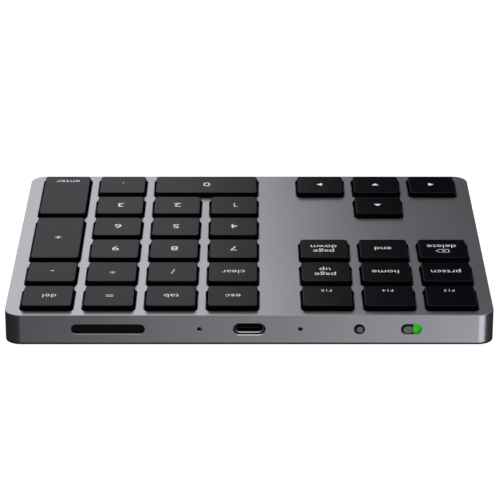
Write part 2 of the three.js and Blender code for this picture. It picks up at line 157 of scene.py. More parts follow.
def stadium(width, height, grow=0.0, steps=10, centre=(0.0, 0.0)):
    """Points of an outline with round ends."""
    height = height + 2 * grow
    return rounded_rect(width + 2 * grow, height, height / 2 - 0.01, steps, centre)


def flat_ring(outline, z):
    """An outline laid level at height z."""
    return [Vector((x, y, z)) for x, y in outline]


def rear_ring(outline, y):
    """An outline in X and Z, standing at depth y."""
    return [Vector((x, y, z)) for x, z in outline]


def edge_arc(radius, steps=3):
    """(inset, drop) pairs along a quarter-round edge, from the side face to the top face."""
    angles = [step / steps * math.pi / 2 for step in range(steps + 1)]
    return [(radius * (1 - math.cos(a)), radius * (1 - math.sin(a))) for a in angles]


# ---- mesh building ---------------------------------------


def add_skin(bm, first, second):
    """Faces between two rings with equal numbers of vertices."""
    for i, vertex in enumerate(first):
        j = (i + 1) % len(first)
        bm.faces.new((vertex, first[j], second[j], second[i]))


def add_loft(bm, rings, close=True):
    """Skins rings of equal point counts, with a face across each end when close is set."""
    rows = [[bm.verts.new(point) for point in ring] for ring in rings]
    for first, second in zip(rows, rows[1:]):
        add_skin(bm, first, second)
    if close:
        bm.faces.new(rows[0])
        bm.faces.new(rows[-1])
    return rows


def add_face_with_holes(bm, outer, holes):
    """A level face inside one loop of vertices and outside the others."""
    vertices, loops = [], []
    for loop in (outer, *holes):
        loops.append(list(range(len(vertices), len(vertices) + len(loop))))
        vertices += loop
    flat = [vertex.co.xy for vertex in vertices]
    _, _, triangles, sources, _, insides = delaunay_2d_cdt(flat, [], loops, 1, 1e-7)
    for corners, inside in zip(triangles, insides):
        if list(inside) == [0]:
            bm.faces.new([vertices[sources[corner][0]] for corner in corners])


def add_box(bm, low, high):
    """A box between two corners."""
    (x0, y0, z0), (x1, y1, z1) = low, high
    outline = [(x0, y0), (x1, y0), (x1, y1), (x0, y1)]
    add_loft(bm, [flat_ring(outline, z0), flat_ring(outline, z1)])


def add_turned(bm, profile, centre, steps=32, axis="Z"):
    """A solid of revolution from (radius, height) pairs, with both ends closed."""
    stand = flat_ring if axis == "Z" else rear_ring
    rings = [stand(circle(radius, steps=steps), height) for radius, height in profile]
    add_loft(bm, [[Vector(centre) + point for point in ring] for ring in rings])


def add_rounded_box(bm, low, high, radius, edge=0.1, steps=3):
    """A box with rounded upright edges and softened top and bottom edges."""
    width, depth = high[0] - low[0], high[1] - low[1]
    centre = ((low[0] + high[0]) / 2, (low[1] + high[1]) / 2)
    arc = edge_arc(edge, 2)
    profile = [(inset, low[2] + drop) for inset, drop in reversed(arc)]
    profile += [(inset, high[2] - drop) for inset, drop in arc]
    add_loft(bm, [
        flat_ring(rounded_rect(width - 2 * i, depth - 2 * i, max(radius - i, 0.02), steps, centre), z)
        for i, z in profile
    ])


def turn_and_move(bm, turn, x, y):
    """Turns a mesh about the origin and then moves it, both in plan."""
    bmesh.ops.rotate(bm, matrix=Matrix.Rotation(turn, 3, "Z"), verts=bm.verts[:])
    bmesh.ops.translate(bm, vec=(x, y, 0), verts=bm.verts[:])


def mesh_from(bm, name):
    """A mesh in metres from a bmesh in millimetres."""
    bmesh.ops.recalc_face_normals(bm, faces=bm.faces[:])
    bmesh.ops.scale(bm, vec=(MM, MM, MM), verts=bm.verts[:])
    mesh = bpy.data.meshes.new(name)
    bm.to_mesh(mesh)
    bm.free()
    return mesh


def new_object(name, data):
    thing = bpy.data.objects.new(name, data)
    bpy.context.scene.collection.objects.link(thing)
    return thing


def object_from(bm, name):
    return new_object(name, mesh_from(bm, name))


def evaluated_mesh(thing):
    """The mesh that an object shows, with its modifiers applied."""
    graph = bpy.context.evaluated_depsgraph_get()
    return bpy.data.meshes.new_from_object(thing.evaluated_get(graph))


def carve(piece, tool_bm, operation="DIFFERENCE"):
    """Cuts the tool out of a piece, or joins it on."""
    tool = object_from(tool_bm, "carving_tool")
    modifier = piece.modifiers.new("carve", "BOOLEAN")
    modifier.operation = operation
    modifier.solver = "MANIFOLD"
    modifier.object = tool
    carved = evaluated_mesh(piece)
    piece.modifiers.clear()
    old = piece.data
    piece.data = carved
    bpy.data.meshes.remove(old)
    bpy.data.objects.remove(tool)


def carve_turned(piece, profile, centre, steps, operation="DIFFERENCE", axis="Z"):
    """Cuts a solid of revolution out of a piece, or joins it on."""
    tool = bmesh.new()
    add_turned(tool, profile, centre, steps, axis)
    carve(piece, tool, operation)


def dress(piece, material, body="case", slot=None, replaces=(), smooth_angle=35, even_normals=True):
    """Gives a piece its material, shading, body and the CAD nodes that it stands for; slot is not used."""
    mesh = piece.data
    mesh.materials.clear()
    mesh.materials.append(MATERIALS[material])
    mesh.shade_smooth()
    mesh.set_sharp_from_angle(angle=math.radians(smooth_angle))
    if even_normals:
        modifier = piece.modifiers.new("even_normals", "WEIGHTED_NORMAL")
        modifier.weight = 100
        modifier.keep_sharp = True
    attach(piece, body)
    if replaces:
        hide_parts(*replaces)
    return piece


def paint_faces(piece, material, chosen):
    """Gives a second material to the faces for which chosen(middle in mm, normal) is true."""
    mesh = piece.data
    mesh.materials.append(MATERIALS[material])
    for polygon in mesh.polygons:
        if chosen(polygon.center / MM, polygon.normal):
            polygon.material_index = len(mesh.materials) - 1


def piece_from(bm, name, material, body="case", **options):
    return dress(object_from(bm, name), material, body, **options)


# ---- materials -------------------------------------------


def set_inputs(node, **values):
    """Sets a node's sockets by their names, with _ for a space."""
    for socket, value in values.items():
        node.inputs[socket.replace("_", " ")].default_value = value


def new_material(name, color, roughness, metallic=0.0, **sockets):
    """A material with one Principled shader, and that shader's node."""
    material = bpy.data.materials.new(name)
    material.use_nodes = True
    shader = material.node_tree.nodes["Principled BSDF"]
    set_inputs(shader, Base_Color=(*color, 1.0), Roughness=roughness, Metallic=metallic, **sockets)
    return material, shader


def graph(material):
    """The nodes and the links of a material or a world."""
    return material.node_tree.nodes, material.node_tree.links


def noise(material, scale, detail=3.0, roughness=0.5):
    """A noise texture in object space, whose scale is in cycles over a metre."""
    nodes, links = graph(material)
    place = nodes.get("Place") or nodes.new("ShaderNodeTexCoord")
    place.name = "Place"
    texture = nodes.new("ShaderNodeTexNoise")
    set_inputs(texture, Scale=scale, Detail=detail, Roughness=roughness)
    links.new(place.outputs["Object"], texture.inputs["Vector"])
    return texture


def ramp(material, source, low, high, low_value, high_value):
    """Maps a texture's range low to high onto two values, or two colours."""
    nodes, links = graph(material)
    mapping = nodes.new("ShaderNodeMapRange")
    links.new(source, mapping.inputs["Value"])
    set_inputs(mapping, From_Min=low, From_Max=high)
    if not isinstance(low_value, tuple):
        set_inputs(mapping, To_Min=low_value, To_Max=high_value)
        return mapping.outputs["Result"]
    mix = nodes.new("ShaderNodeMix")
    mix.data_type = "RGBA"
    links.new(mapping.outputs["Result"], mix.inputs["Factor"])
    set_inputs(mix, A=(*low_value, 1.0), B=(*high_value, 1.0))
    return mix.outputs["Result"]


def add_bump(material, shader, height, microns):
    """Raises the surface where a texture is bright."""
    nodes, links = graph(material)
    bump = nodes.new("ShaderNodeBump")
    set_inputs(bump, Distance=microns * MICRON)
    links.new(height, bump.inputs["Height"])
    links.new(bump.outputs["Normal"], shader.inputs["Normal"])


def surface(name, dark, light, roughness, metallic=0.0, grain=4000.0, bump=10, patches=60.0, **sockets):
    """A surface with slow changes of colour, a varying roughness and a fine raised grain, in microns."""
    material, shader = new_material(name, light, 0.5, metallic, **sockets)
    links = material.node_tree.links
    slow = noise(material, patches, 4.0, 0.6).outputs["Fac"]
    fine = noise(material, grain, 2.0, 0.6).outputs["Fac"]
    links.new(ramp(material, slow, 0.35, 0.65, dark, light), shader.inputs["Base Color"])
    links.new(ramp(material, fine, 0.3, 0.7, *roughness), shader.inputs["Roughness"])
    add_bump(material, shader, fine, bump)
    return material


def key_material():
    """Matt black moulded plastic; a paler base colour on the rounded edges of a keycap is a painted
    highlight.
    """
    material, shader = new_material("matt_black_key_plastic", KEY_BLACK, 0.24, Specular_IOR_Level=0.047,
                                    Specular_Tint=(0.82, 0.87, 1.0, 1.0))
    nodes, links = graph(material)
    fine = noise(material, 6500.0, 2.0, 0.6)
    normal = nodes.new("ShaderNodeSeparateXYZ")
    links.new(nodes["Place"].outputs["Normal"], normal.inputs[0])
    edges = nodes.new("ShaderNodeValToRGB")
    stops = edges.color_ramp.elements
    stops[0].position, stops[0].color = 0.35, (*KEY_BLACK, 1.0)
    stops[1].position, stops[1].color = 0.99, (*KEY_BLACK, 1.0)
    # painted highlight: a paler base colour where the normal slants, on the rounded edges
    for position in (0.55, 0.9):
        stops.new(position).color = (*KEY_EDGE_HIGHLIGHT, 1.0)
    links.new(normal.outputs["Z"], edges.inputs["Fac"])
    links.new(edges.outputs["Color"], shader.inputs["Base Color"])
    links.new(ramp(material, fine.outputs["Fac"], 0.3, 0.7, 0.20, 0.28), shader.inputs["Roughness"])
    add_bump(material, shader, fine.outputs["Fac"], 5)
    return material


def tracked_material(name, color, roughness, scale, size, colors, bump, smooth=0.1):
    """A sheet with a grid of tracks, from two sheet colours and the colour of a track."""
    material, shader = new_material(name, color, roughness)
    nodes, links = graph(material)
    tracks = nodes.new("ShaderNodeTexBrick")
    place = nodes.new("ShaderNodeTexCoord")
    links.new(place.outputs["Object"], tracks.inputs["Vector"])
    one, two, track = ((*value, 1.0) for value in colors)
    set_inputs(tracks, Scale=scale, Mortar_Size=size, Mortar_Smooth=smooth)
    set_inputs(tracks, Color1=one, Color2=two, Mortar=track)
    links.new(tracks.outputs["Color"], shader.inputs["Base Color"])
    add_bump(material, shader, tracks.outputs["Fac"], bump)
    return material


KEY_BLACK = (0.0007, 0.0008, 0.0022)
# the paler base colour of the keycap edges, a painted highlight
KEY_EDGE_HIGHLIGHT = (0.02, 0.0205, 0.024)

MATERIALS = {
    "anodised": surface("bead_blasted_anodising", (0.306, 0.308, 0.320), (0.321, 0.323, 0.335), (0.28, 0.35),
                        metallic=0.93, grain=9000, bump=4, patches=35),
    # paler metal for the key window edge bevels and the USB rim, a painted highlight
    "bevel": surface("bevel_painted_highlight", (0.50, 0.505, 0.53), (0.55, 0.555, 0.58), (0.25, 0.32),
                     metallic=1, grain=9000, bump=3),
    "key": key_material(),
    "key_side": surface("spark_eroded_key_side", (0.0012, 0.0012, 0.0016), (0.002, 0.002, 0.0025),
                        (0.8, 0.95), grain=3500, Specular_IOR_Level=0.0),
    "legend": surface("white_legend_print", (0.76, 0.76, 0.77), (0.84, 0.84, 0.85), (0.4, 0.5),
                      grain=9000, bump=2, patches=900),
    "cover": surface("dark_powder_coat", (0.012, 0.0125, 0.014), (0.017, 0.0175, 0.019), (0.5, 0.65),
                     grain=3500, bump=30, Specular_IOR_Level=0.25),
    "black": surface("smooth_black_plastic", (0.006, 0.006, 0.007), (0.009, 0.009, 0.010), (0.25, 0.35),
                     grain=5000, bump=3),
    # black plastic of the radio window and the USB tongue; it is also painted as shade on the key window
    # walls and behind the button and knob
    "window": surface("black_plastic_and_painted_shade", (0.003, 0.003, 0.0036), (0.004, 0.004, 0.0048), (0.25, 0.35),
                      grain=5000, bump=3, Specular_IOR_Level=0.12),
    "grey": surface("satin_grey_plastic", (0.13, 0.132, 0.138), (0.17, 0.172, 0.18), (0.38, 0.5),
                    grain=6000, bump=6),
    # the green is the mark's own paint; its emission is a painted glow
    "green": surface("green_mark_paint_and_painted_glow", (0.04, 0.58, 0.01), (0.05, 0.66, 0.015), (0.3, 0.4),
                     grain=5000, bump=3, Specular_IOR_Level=0.1,
                     Emission_Color=(0.03, 0.6, 0.006, 1.0), Emission_Strength=0.3),
    "rubber": surface("soft_black_rubber", (0.012, 0.012, 0.013), (0.020, 0.020, 0.021), (0.7, 0.85),
                      grain=2500, bump=40),
    "steel": surface("rolled_steel", (0.50, 0.51, 0.52), (0.60, 0.61, 0.62), (0.25, 0.38),
                     metallic=1, grain=3000, bump=5),
    # darker steel for the USB shell: painted shade inside the port
    "port_shade_steel": surface("steel_with_painted_shade", (0.28, 0.285, 0.29), (0.36, 0.365, 0.37), (0.22, 0.32),
                          metallic=1, grain=3000, bump=4),
    "bright": surface("bright_wire", (0.62, 0.63, 0.64), (0.72, 0.73, 0.74), (0.12, 0.2),
                      metallic=1, grain=5000, bump=3),
    "gold": surface("gold_plating", (0.75, 0.52, 0.2), (0.85, 0.6, 0.26), (0.18, 0.26),
                    metallic=1, grain=5000, bump=3),
    "silicone": surface("white_silicone", (0.62, 0.63, 0.62), (0.72, 0.73, 0.72), (0.45, 0.6),
                        grain=2500, Subsurface_Weight=0.2, Subsurface_Scale=0.001),
    "link": surface("natural_acetal", (0.66, 0.66, 0.62), (0.74, 0.74, 0.70), (0.3, 0.42),
                    grain=2500, bump=8),
    "foil": surface("battery_foil", (0.38, 0.39, 0.40), (0.48, 0.49, 0.50), (0.3, 0.5),
                    metallic=0.8, grain=900, bump=40),
    "red": surface("red_insulation", (0.35, 0.012, 0.01), (0.45, 0.02, 0.015), (0.35, 0.5),
                   grain=3000, bump=5),
    "tape": surface("amber_tape", (0.45, 0.2, 0.02), (0.55, 0.26, 0.03), (0.2, 0.3), grain=1500, bump=5),
    "ceramic": surface("ceramic_body", (0.30, 0.22, 0.14), (0.38, 0.29, 0.19), (0.4, 0.55), bump=5),
    # near-black light pipes: painted shade in the pinholes
    "pipe": surface("dark_light_pipe_painted_shade", (0.006, 0.006, 0.007), (0.012, 0.012, 0.013), (0.1, 0.2),
                    bump=2, Specular_IOR_Level=0.2),
    # green solder mask over copper tracks, and clear polyester film with printed silver tracks
    "board": tracked_material("green_solder_mask", (0.01, 0.09, 0.035), 0.35, 300, 0.03,
                              ((0.008, 0.075, 0.03), (0.012, 0.095, 0.038), (0.03, 0.2, 0.09)), 30, 0.3),
    "film": tracked_material("printed_clear_film", (0.5, 0.55, 0.5), 0.25, 105, 0.02,
                             ((0.34, 0.4, 0.36), (0.38, 0.43, 0.39), (0.6, 0.61, 0.62)), 20),
}


# ---- case ------------------------------------------------


def key_centre(key):
    low, high = box_mm(f"key_{key}")
    return ((low.x + high.x) / 2, (low.y + high.y) / 2)


def key_extra(key):
    """How much longer than a square key this one is, across and along."""
    low, high = box_mm(f"key_{key}")
    return (round(high.x - low.x - KEY_BASE, 3), round(high.y - low.y - KEY_BASE, 3))


def window_ring(key, grow, z):
    x_extra, y_extra = key_extra(key)
    size = KEY_WINDOW + 2 * grow
    return flat_ring(rounded_rect(size + x_extra, size + y_extra, 2.0 + grow, 6, key_centre(key)), z)


def body_ring(inset, z, steps=14):
    outline = rounded_rect(BODY_WIDTH - 2 * inset, BODY_DEPTH - 2 * inset, CORNER_RADIUS - inset, steps)
    return flat_ring(outline, z)


def screw_places():
    """Where the six screws stand, in plan, in the order front to rear."""
    side = BODY_WIDTH / 2 - WALL - 1
    middle = (key_centre("page_up")[0] + key_centre("clear")[0]) / 2
    pairs = (("1", "0"), ("tab", "clear"))
    rows = [(key_centre(front)[1] + key_centre(rear)[1]) / 2 for front, rear in pairs]
    return [(x, y) for y in rows for x in (-side, middle, side)]


def port_tool(outline_at, chamfer):
    """A cutter through the rear wall, flared at the outside. outline_at(grow) gives its section."""
    bm = bmesh.new()
    add_loft(bm, [
        rear_ring(outline_at(0.0), REAR_FACE - WALL - 1.0),
        rear_ring(outline_at(0.0), REAR_FACE - chamfer),
        rear_ring(outline_at(chamfer), REAR_FACE),
        rear_ring(outline_at(chamfer), REAR_FACE + 1.0),
    ])
    return bm


def make_top_case():
    bm = bmesh.new()
    top_edge, window_edge, foot_edge = 0.14, 0.12, 0.08
    deck_under = DECK_TOP - DECK_THICKNESS
    outside = [body_ring(inset, CASE_BOTTOM + drop) for inset, drop in reversed(edge_arc(foot_edge, 2))]
    outside += [body_ring(inset, DECK_TOP - drop) for inset, drop in edge_arc(top_edge, 4)]
    skin = add_loft(bm, outside, close=False)
    top_holes, bottom_holes = [], []
    for key in KEYS:
        rings = [window_ring(key, window_edge - i, DECK_TOP - d) for d, i in edge_arc(window_edge, 3)]
        rings.append(window_ring(key, 0.0, deck_under))
        rows = add_loft(bm, rings, close=False)
        top_holes.append(rows[0])
        bottom_holes.append(rows[-1])
    add_face_with_holes(bm, skin[-1], top_holes)
    inner = rounded_rect(BODY_WIDTH - 2 * WALL, BODY_DEPTH - 2 * WALL, CORNER_RADIUS - WALL, 14)
    cavity = add_loft(bm, [flat_ring(inner, deck_under), flat_ring(inner, CASE_BOTTOM)], close=False)
    add_face_with_holes(bm, cavity[0], bottom_holes)
    add_face_with_holes(bm, skin[0], [cavity[-1]])
    case = object_from(bm, "case")

    pocket = bmesh.new()
    add_box(pocket, (-BAND_HALF_WIDTH, REAR_FACE - WALL - 1, BAND_BOTTOM),
            (BAND_HALF_WIDTH, PORT_INSIDE, BAND_TOP))
    carve(case, pocket)
    long_holes = [(USB_SIZE, 0, USB_CHAMFER), (ANTENNA_SIZE, ANTENNA_X, 0.1), (POWER_SIZE, POWER_X, 0.04)]
    for size, port_x, chamfer in long_holes:
        carve(case, port_tool(lambda grow: stadium(*size, grow, 12, (port_x, PORT_HEIGHT)), chamfer))
    round_holes = [(PAIRING_RADIUS, PAIRING_X, 40, 0.04), *((LIGHT_HOLE_RADIUS, x, 28, 0.1) for x in LIGHT_X)]
    for radius, port_x, steps, chamfer in round_holes:
        carve(case, port_tool(lambda grow: circle(radius + grow, (port_x, PORT_HEIGHT), steps), chamfer))
    for x, y in screw_places():
        radius = 2.2 if abs(x) < 20 else 1.3
        boss = [(radius, COVER_FLOOR + 0.05), (radius, deck_under + 0.2)]
        carve_turned(case, boss, (x, y, 0), 24, "UNION")
        carve_turned(case, [(0.55, 0), (0.55, 7)], (x, y, 0), 16)
    dress(case, "anodised", slot="anodised_case", replaces=["top_case"])

    def in_deck(middle):
        inside = abs(middle.x) < BODY_WIDTH / 2 - 1 and abs(middle.y) < BODY_DEPTH / 2 - 1
        return inside and middle.z > deck_under

    def on_usb_rim(middle, normal):
        near = abs(middle.x) < 5.5 and abs(middle.z - PORT_HEIGHT) < 2.5
        return near and middle.y > REAR_FACE - USB_CHAMFER and normal.y < 0.95

    # painted highlight: the rounded key window edges and the USB port's chamfer get the paler metal
    paint_faces(case, "bevel", lambda middle, normal: (
        in_deck(middle) and 0.3 < normal.z < 0.98 or on_usb_rim(middle, normal)))
    # painted shade: the upright walls of the key windows are painted near-black
    paint_faces(case, "window", lambda middle, normal: in_deck(middle) and abs(normal.z) <= 0.3)


make_top_case()

# ---- keycaps ---------------------------------------------


def keycap_mesh(x_extra, y_extra):
    """A keycap centred on the origin in plan, in metres."""
    bm = bmesh.new()
    edge, skirt_edge, wall = 0.16, 0.08, 0.8

    def ring(size, radius, z):
        return flat_ring(rounded_rect(size + x_extra, size + y_extra, radius, 7), z)

    def side_size(z):
        return KEY_BASE + (KEY_TOP - KEY_BASE) * (z - CAP_SKIRT) / (CAP_TOP - CAP_SKIRT)

    rings = [ring(KEY_BASE - 2 * skirt_edge, 1.8, CAP_SKIRT)]
    rings.append(ring(side_size(CAP_SKIRT + skirt_edge), 1.9, CAP_SKIRT + skirt_edge))
    for inset, drop in edge_arc(edge, 4):
        z = CAP_FACE - drop
        rings.append(ring(side_size(z) - 2 * inset, 1.2 - inset, z))
    outside = add_loft(bm, rings, close=False)
    hollow = [ring(KEY_BASE - 2 * wall, 1.2, CAP_SKIRT), ring(KEY_TOP - 2 * wall, 1.0, CAP_CEILING)]
    inside = add_loft(bm, hollow, close=False)
    bm.faces.new(outside[-1])
    bm.faces.new(inside[-1])
    add_skin(bm, outside[0], inside[0])
    return mesh_from(bm, "keycap")


def make_keycaps():
    templates = {}
    for key in KEYS:
        extra = key_extra(key)
        if extra not in templates:
            templates[extra] = keycap_mesh(*extra)
        mesh = templates[extra].copy()
        x, y = key_centre(key)
        mesh.transform(Matrix.Translation((x * MM, y * MM, 0)))
        cap = new_object(f"keycap_{key}", mesh)
        dress(cap, "key", f"key_{key}", slot="key_plastic", replaces=[f"key_{key}"])
        paint_faces(cap, "key_side", lambda middle, normal: normal.z < 0.5)


make_keycaps()

# ---- legends ---------------------------------------------

WORD_SIZE = 3.85
DIGIT_SIZE = 4.8
SMALL_SIZE = 2.45
STROKE = 0.3
WORD_THINNING = 0.02
THIN_SIGNS = "=-*"
WIDE_DIGITS = "0235689"
DIGIT_WIDENING = 1.1
FUNCTION_KEYS = ("f13", "f14", "f15")
ARROWS = {"arrow_up": 0, "arrow_left": 90, "arrow_down": 180, "arrow_right": -90}


def text_mesh(words, size, x, baseline):
    """Printed text, centred on x, with its top at the keycap's highest point. Round digits are widened."""
    curve = bpy.data.curves.new("legend", "FONT")
    curve.body = words
    curve.size = size * MM
    curve.offset = -WORD_THINNING * MM if len(words) > 1 or words in THIN_SIGNS else 0.0
    curve.align_x = "CENTER"
    curve.extrude = PRINT_THICKNESS * MM
    curve.resolution_u = 4
    text = new_object("legend_text", curve)
    text.location = (x * MM, baseline * MM, CAP_FACE * MM)
    bpy.context.view_layer.update()
    mesh = evaluated_mesh(text)
    if words in WIDE_DIGITS:
        mesh.transform(Matrix.Diagonal((DIGIT_WIDENING, 1.0, 1.0, 1.0)))
    mesh.transform(text.matrix_world)
    bpy.data.objects.remove(text)
    return mesh


def add_print(bm, outline):
    """A printed patch on a key top."""
    add_loft(bm, [flat_ring(outline, CAP_FACE - PRINT_THICKNESS), flat_ring(outline, CAP_TOP)])


def add_arrow(bm, x, y, turn):
    """A small filled triangle that points along +Y before it is turned."""
    outline = []
    for corner, (across, along) in enumerate(((0, 0.75), (-1.05, -0.75), (1.05, -0.75))):
        for step in range(-2, 3):
            away = math.radians(90 + 120 * corner + 30 * step)
            place = Vector((across + math.cos(away) * 0.13, along + math.sin(away) * 0.13))
            place.rotate(Matrix.Rotation(math.radians(turn), 2))
            outline.append((x + place.x, y + place.y))
    add_print(bm, outline)


def add_one(bm, x, baseline):
    """A digit 1: an upright with a short flag."""
    top = (x, baseline + 3.4)
    add_stroke(bm, (x, baseline + STROKE / 2), top)
    add_stroke(bm, (x - 1.0, baseline + 2.75), top)


def add_stroke(bm, start, end, width=STROKE):
    """A straight printed line between two places on a key top."""
    start, end = Vector(start), Vector(end)
    along = (end - start).normalized() * width / 2
    across = Vector((-along.y, along.x))
    corners = [start - along - across, end + along - across, end + along + across, start - along + across]
    add_print(bm, [tuple(corner) for corner in corners])


def add_delete_symbol(bm, x, y):
    """A label shape that points right, with a cross in it."""
    line, half = 0.22, 1.25
    outline = [(-2.1, -half), (0.75, -half), (2.1, 0), (0.75, half), (-2.1, half)]
    places = [(x + px, y + py) for px, py in outline]
    for start, end in zip(places, places[1:] + places[:1]):
        add_stroke(bm, start, end, line)
    cross, middle = 0.45, x - 0.5
    for sign in (-1, 1):
        add_stroke(bm, (middle - cross, y - sign * cross), (middle + cross, y + sign * cross), line)


def legend_style(key):
    """Size of a key's legend, and its baselines from the middle of the key."""
    if key in FUNCTION_KEYS:
        return SMALL_SIZE, [-4.8]
    if key == "enter":
        return WORD_SIZE, [-13.65]
    if key == "forward_delete":
        return WORD_SIZE, [-3.1]
    if len(LEGENDS[key]) == 2:
        return WORD_SIZE, [1.0, -2.9]
    if all(len(line) == 1 for line in LEGENDS[key]):
        return DIGIT_SIZE, [-1.7]
    return WORD_SIZE, [-1.2]


def legend_shift(key):
    """How far a legend sits from the middle of its key, across."""
    if key == "delete":
        return -0.45
    return 0.19 if key_centre(key)[0] < 0 else -0.08


def make_legends():
    for key, lines in LEGENDS.items():
        bm = bmesh.new()
        x, y = key_centre(key)
        x += legend_shift(key)
        size, baselines = legend_style(key)
        for words, baseline in zip(lines, baselines):
            if words == "1":
                continue
            mesh = text_mesh(words, size, x, y + baseline)
            bm.from_mesh(mesh)
            bpy.data.meshes.remove(mesh)
        bmesh.ops.scale(bm, vec=(1 / MM,) * 3, verts=bm.verts[:])
        bmesh.ops.remove_doubles(bm, verts=bm.verts[:], dist=0.0005)
        if key == "1":
            add_one(bm, x, y + baselines[0])
        if key in ARROWS:
            add_arrow(bm, x, y, ARROWS[key])
        if key == "forward_delete":
            add_delete_symbol(bm, x, y + 2.05)
        piece_from(bm, f"legend_{key}", "legend", f"key_{key}", even_normals=False)


make_legends()

# ---- underside -------------------------------------------


def foot_place(corner):
    low, high = box_mm(f"foot_{corner}")
    middle = (low + high) / 2
    return (middle.x, middle.y, 0)


def make_cover():
    bm = bmesh.new()
    inset, edge = 0.02, 0.05
    rings = [body_ring(inset + i, COVER_LOW.z + d) for i, d in reversed(edge_arc(edge, 2))]
    rings.append(body_ring(inset, COVER_STEP))
    tray_inset = WALL + 0.2

    def tray_ring(z):
        width, depth = BODY_WIDTH - 2 * tray_inset, BODY_DEPTH - 2 * tray_inset
        return flat_ring(rounded_rect(width, depth, CORNER_RADIUS - WALL, 14), z)

    rings += [tray_ring(COVER_STEP), tray_ring(COVER_FLOOR)]
    add_loft(bm, rings)
    cover = object_from(bm, "cover")
    supports = [(-52, 2.5), (-52, 4.5), (-9.5, 2.5), (-9.5, 5), (62, 1.6), (62, 4.5)]
    rear_row = key_centre("tab")[1]
    posts = [(x, rear_row - row * KEY_PITCH, 1.8, 7.4) for x, row in supports]
    posts += [(x, 44, 1.5, box_mm("main_board")[0].z - 0.05) for x in (-50, -22, 22, 52)]
    for x, y, radius, top in posts:
        post = [(radius, COVER_FLOOR - 0.1), (radius, top - 0.15), (radius - 0.15, top)]
        carve_turned(cover, post, (x, y, 0), 20, "UNION")
    radius, top = FOOT_RADIUS + 0.15, COVER_LOW.z + FOOT_RECESS
    for corner in FEET:
        carve_turned(cover, [(radius, -1), (radius, top)], foot_place(corner), 48)
    hole = [(1.62, -1), (1.62, 0), (1.5, 0.12), (1.5, SCREW_HEAD_RECESS), (0.8, SCREW_HEAD_RECESS), (0.8, 2)]
    for x, y in screw_places():
        carve_turned(cover, hole, (x, y, COVER_LOW.z), 28)
    dress(cover, "cover", slot="cover_paint", replaces=["bottom_cover"])


def make_feet():
    for corner in FEET:
        top = box_mm(f"foot_{corner}")[1].z
        bm = bmesh.new()
        grooves = []
        for radius in (4.4, 3.3, 2.2):
            grooves += [(radius, 0.0), (radius - 0.15, 0.12), (radius - 0.35, 0.12), (radius - 0.5, 0.0)]
        profile = [(0.3, 0.0), *reversed(grooves), (5.15, 0.0), (5.4, 0.1)]
        profile += [(FOOT_RADIUS, 0.35), (FOOT_RADIUS, top)]
        add_turned(bm, profile, foot_place(corner), 56)
        piece_from(bm, f"rubber_foot_{corner}", "rubber", slot="rubber_feet",
                   replaces=[f"foot_{corner}"])


def make_screws():
    """Flat-headed screws with a cross recess and a threaded shank."""
    for index, (x, y) in enumerate(screw_places(), 1):
        bm = bmesh.new()
        profile = [(1.2, 0.1), (1.35, 0.2), (1.35, 0.58), (0.7, 0.58)]
        pitch, z = 0.35, 0.7
        while z < 5.5:
            profile += [(0.54, z), (0.42, z + pitch / 2)]
            z += pitch
        profile += [(0.3, 5.8), (0.05, 5.95)]
        add_turned(bm, profile, (x, y, COVER_LOW.z), 20)
        screw = new_object(f"cover_screw_{index}", mesh_from(bm, "screw"))
        for turn in (0, math.pi / 2):
            slot = bmesh.new()
            add_box(slot, (-0.8, -0.14, COVER_LOW.z - 0.3), (0.8, 0.14, COVER_LOW.z + 0.45))
            turn_and_move(slot, turn + 0.4 * index, x, y)
            carve(screw, slot)
        dress(screw, "steel", slot="bare_steel")


make_cover()
make_feet()
make_screws()

# ---- ports on the rear wall ------------------------------


def make_usb_socket():
    """A drawn steel shell whose mouth flares, and the tongue with its contacts."""
    low, high = box_mm("usb_c_shell")
    width, height, wall = high.x - low.x, high.z - low.z, 0.3
    centre = (0, PORT_HEIGHT)
    bm = bmesh.new()
    profile = [(0, low.y), (0, high.y - 0.04), (-0.04, high.y), (-0.07, high.y)]
    profile += [(-0.12, high.y - 0.06), (-wall - 0.08, high.y - 0.3), (-wall - 0.08, high.y - 0.45)]
    profile += [(-wall, high.y - 0.6), (-wall, low.y + wall)]
    add_loft(bm, [rear_ring(stadium(width, height, grow, 12, centre), y) for grow, y in profile])
    # the shell's darker steel is painted shade inside the port
    piece_from(bm, "usb_socket_shell", "port_shade_steel", slot="bare_steel", replaces=["usb_c_shell"])

    back = low.y + wall + 0.06
    tip = box_mm("usb_c_tongue")[1].y
    bm = bmesh.new()
    plug_face = stadium(width, height, -wall - 0.06, 12, centre)
    add_loft(bm, [rear_ring(plug_face, back), rear_ring(plug_face, back + 1.4)])
    insulator = object_from(bm, "usb_tongue")
    blade = bmesh.new()
    section = rounded_rect(6.69, 0.7, 0.2, 4, centre)
    slim = rounded_rect(6.39, 0.4, 0.12, 4, centre)
    add_loft(blade, [rear_ring(section, back + 0.6), rear_ring(section, tip - 0.3), rear_ring(slim, tip)])
    carve(insulator, blade, "UNION")
    dress(insulator, "window", slot="black_plastic", replaces=["usb_c_tongue"])

    bm = bmesh.new()
    for side in (-1, 1):
        face = PORT_HEIGHT + side * 0.35
        for index in range(12):
            x = (index - 5.5) * 0.5
            z = sorted((face - side * 0.03, face + side * 0.03))
            add_box(bm, (x - 0.13, back + 1.5, z[0]), (x + 0.13, tip - 0.5, z[1]))
    piece_from(bm, "usb_contacts", "gold", even_normals=False)


def make_antenna_window():
    """The black panel that closes the long slot from behind."""
    low, high = box_mm("antenna_window")
    middle = ((low.x + high.x) / 2, PORT_HEIGHT)
    bm = bmesh.new()
    outline = rounded_rect(high.x - low.x, high.z - low.z, 1.2, 6, middle)
    add_loft(bm, [rear_ring(outline, low.y), rear_ring(outline, high.y)])
    piece_from(bm, "radio_window", "window", slot="black_plastic", replaces=["antenna_window"])


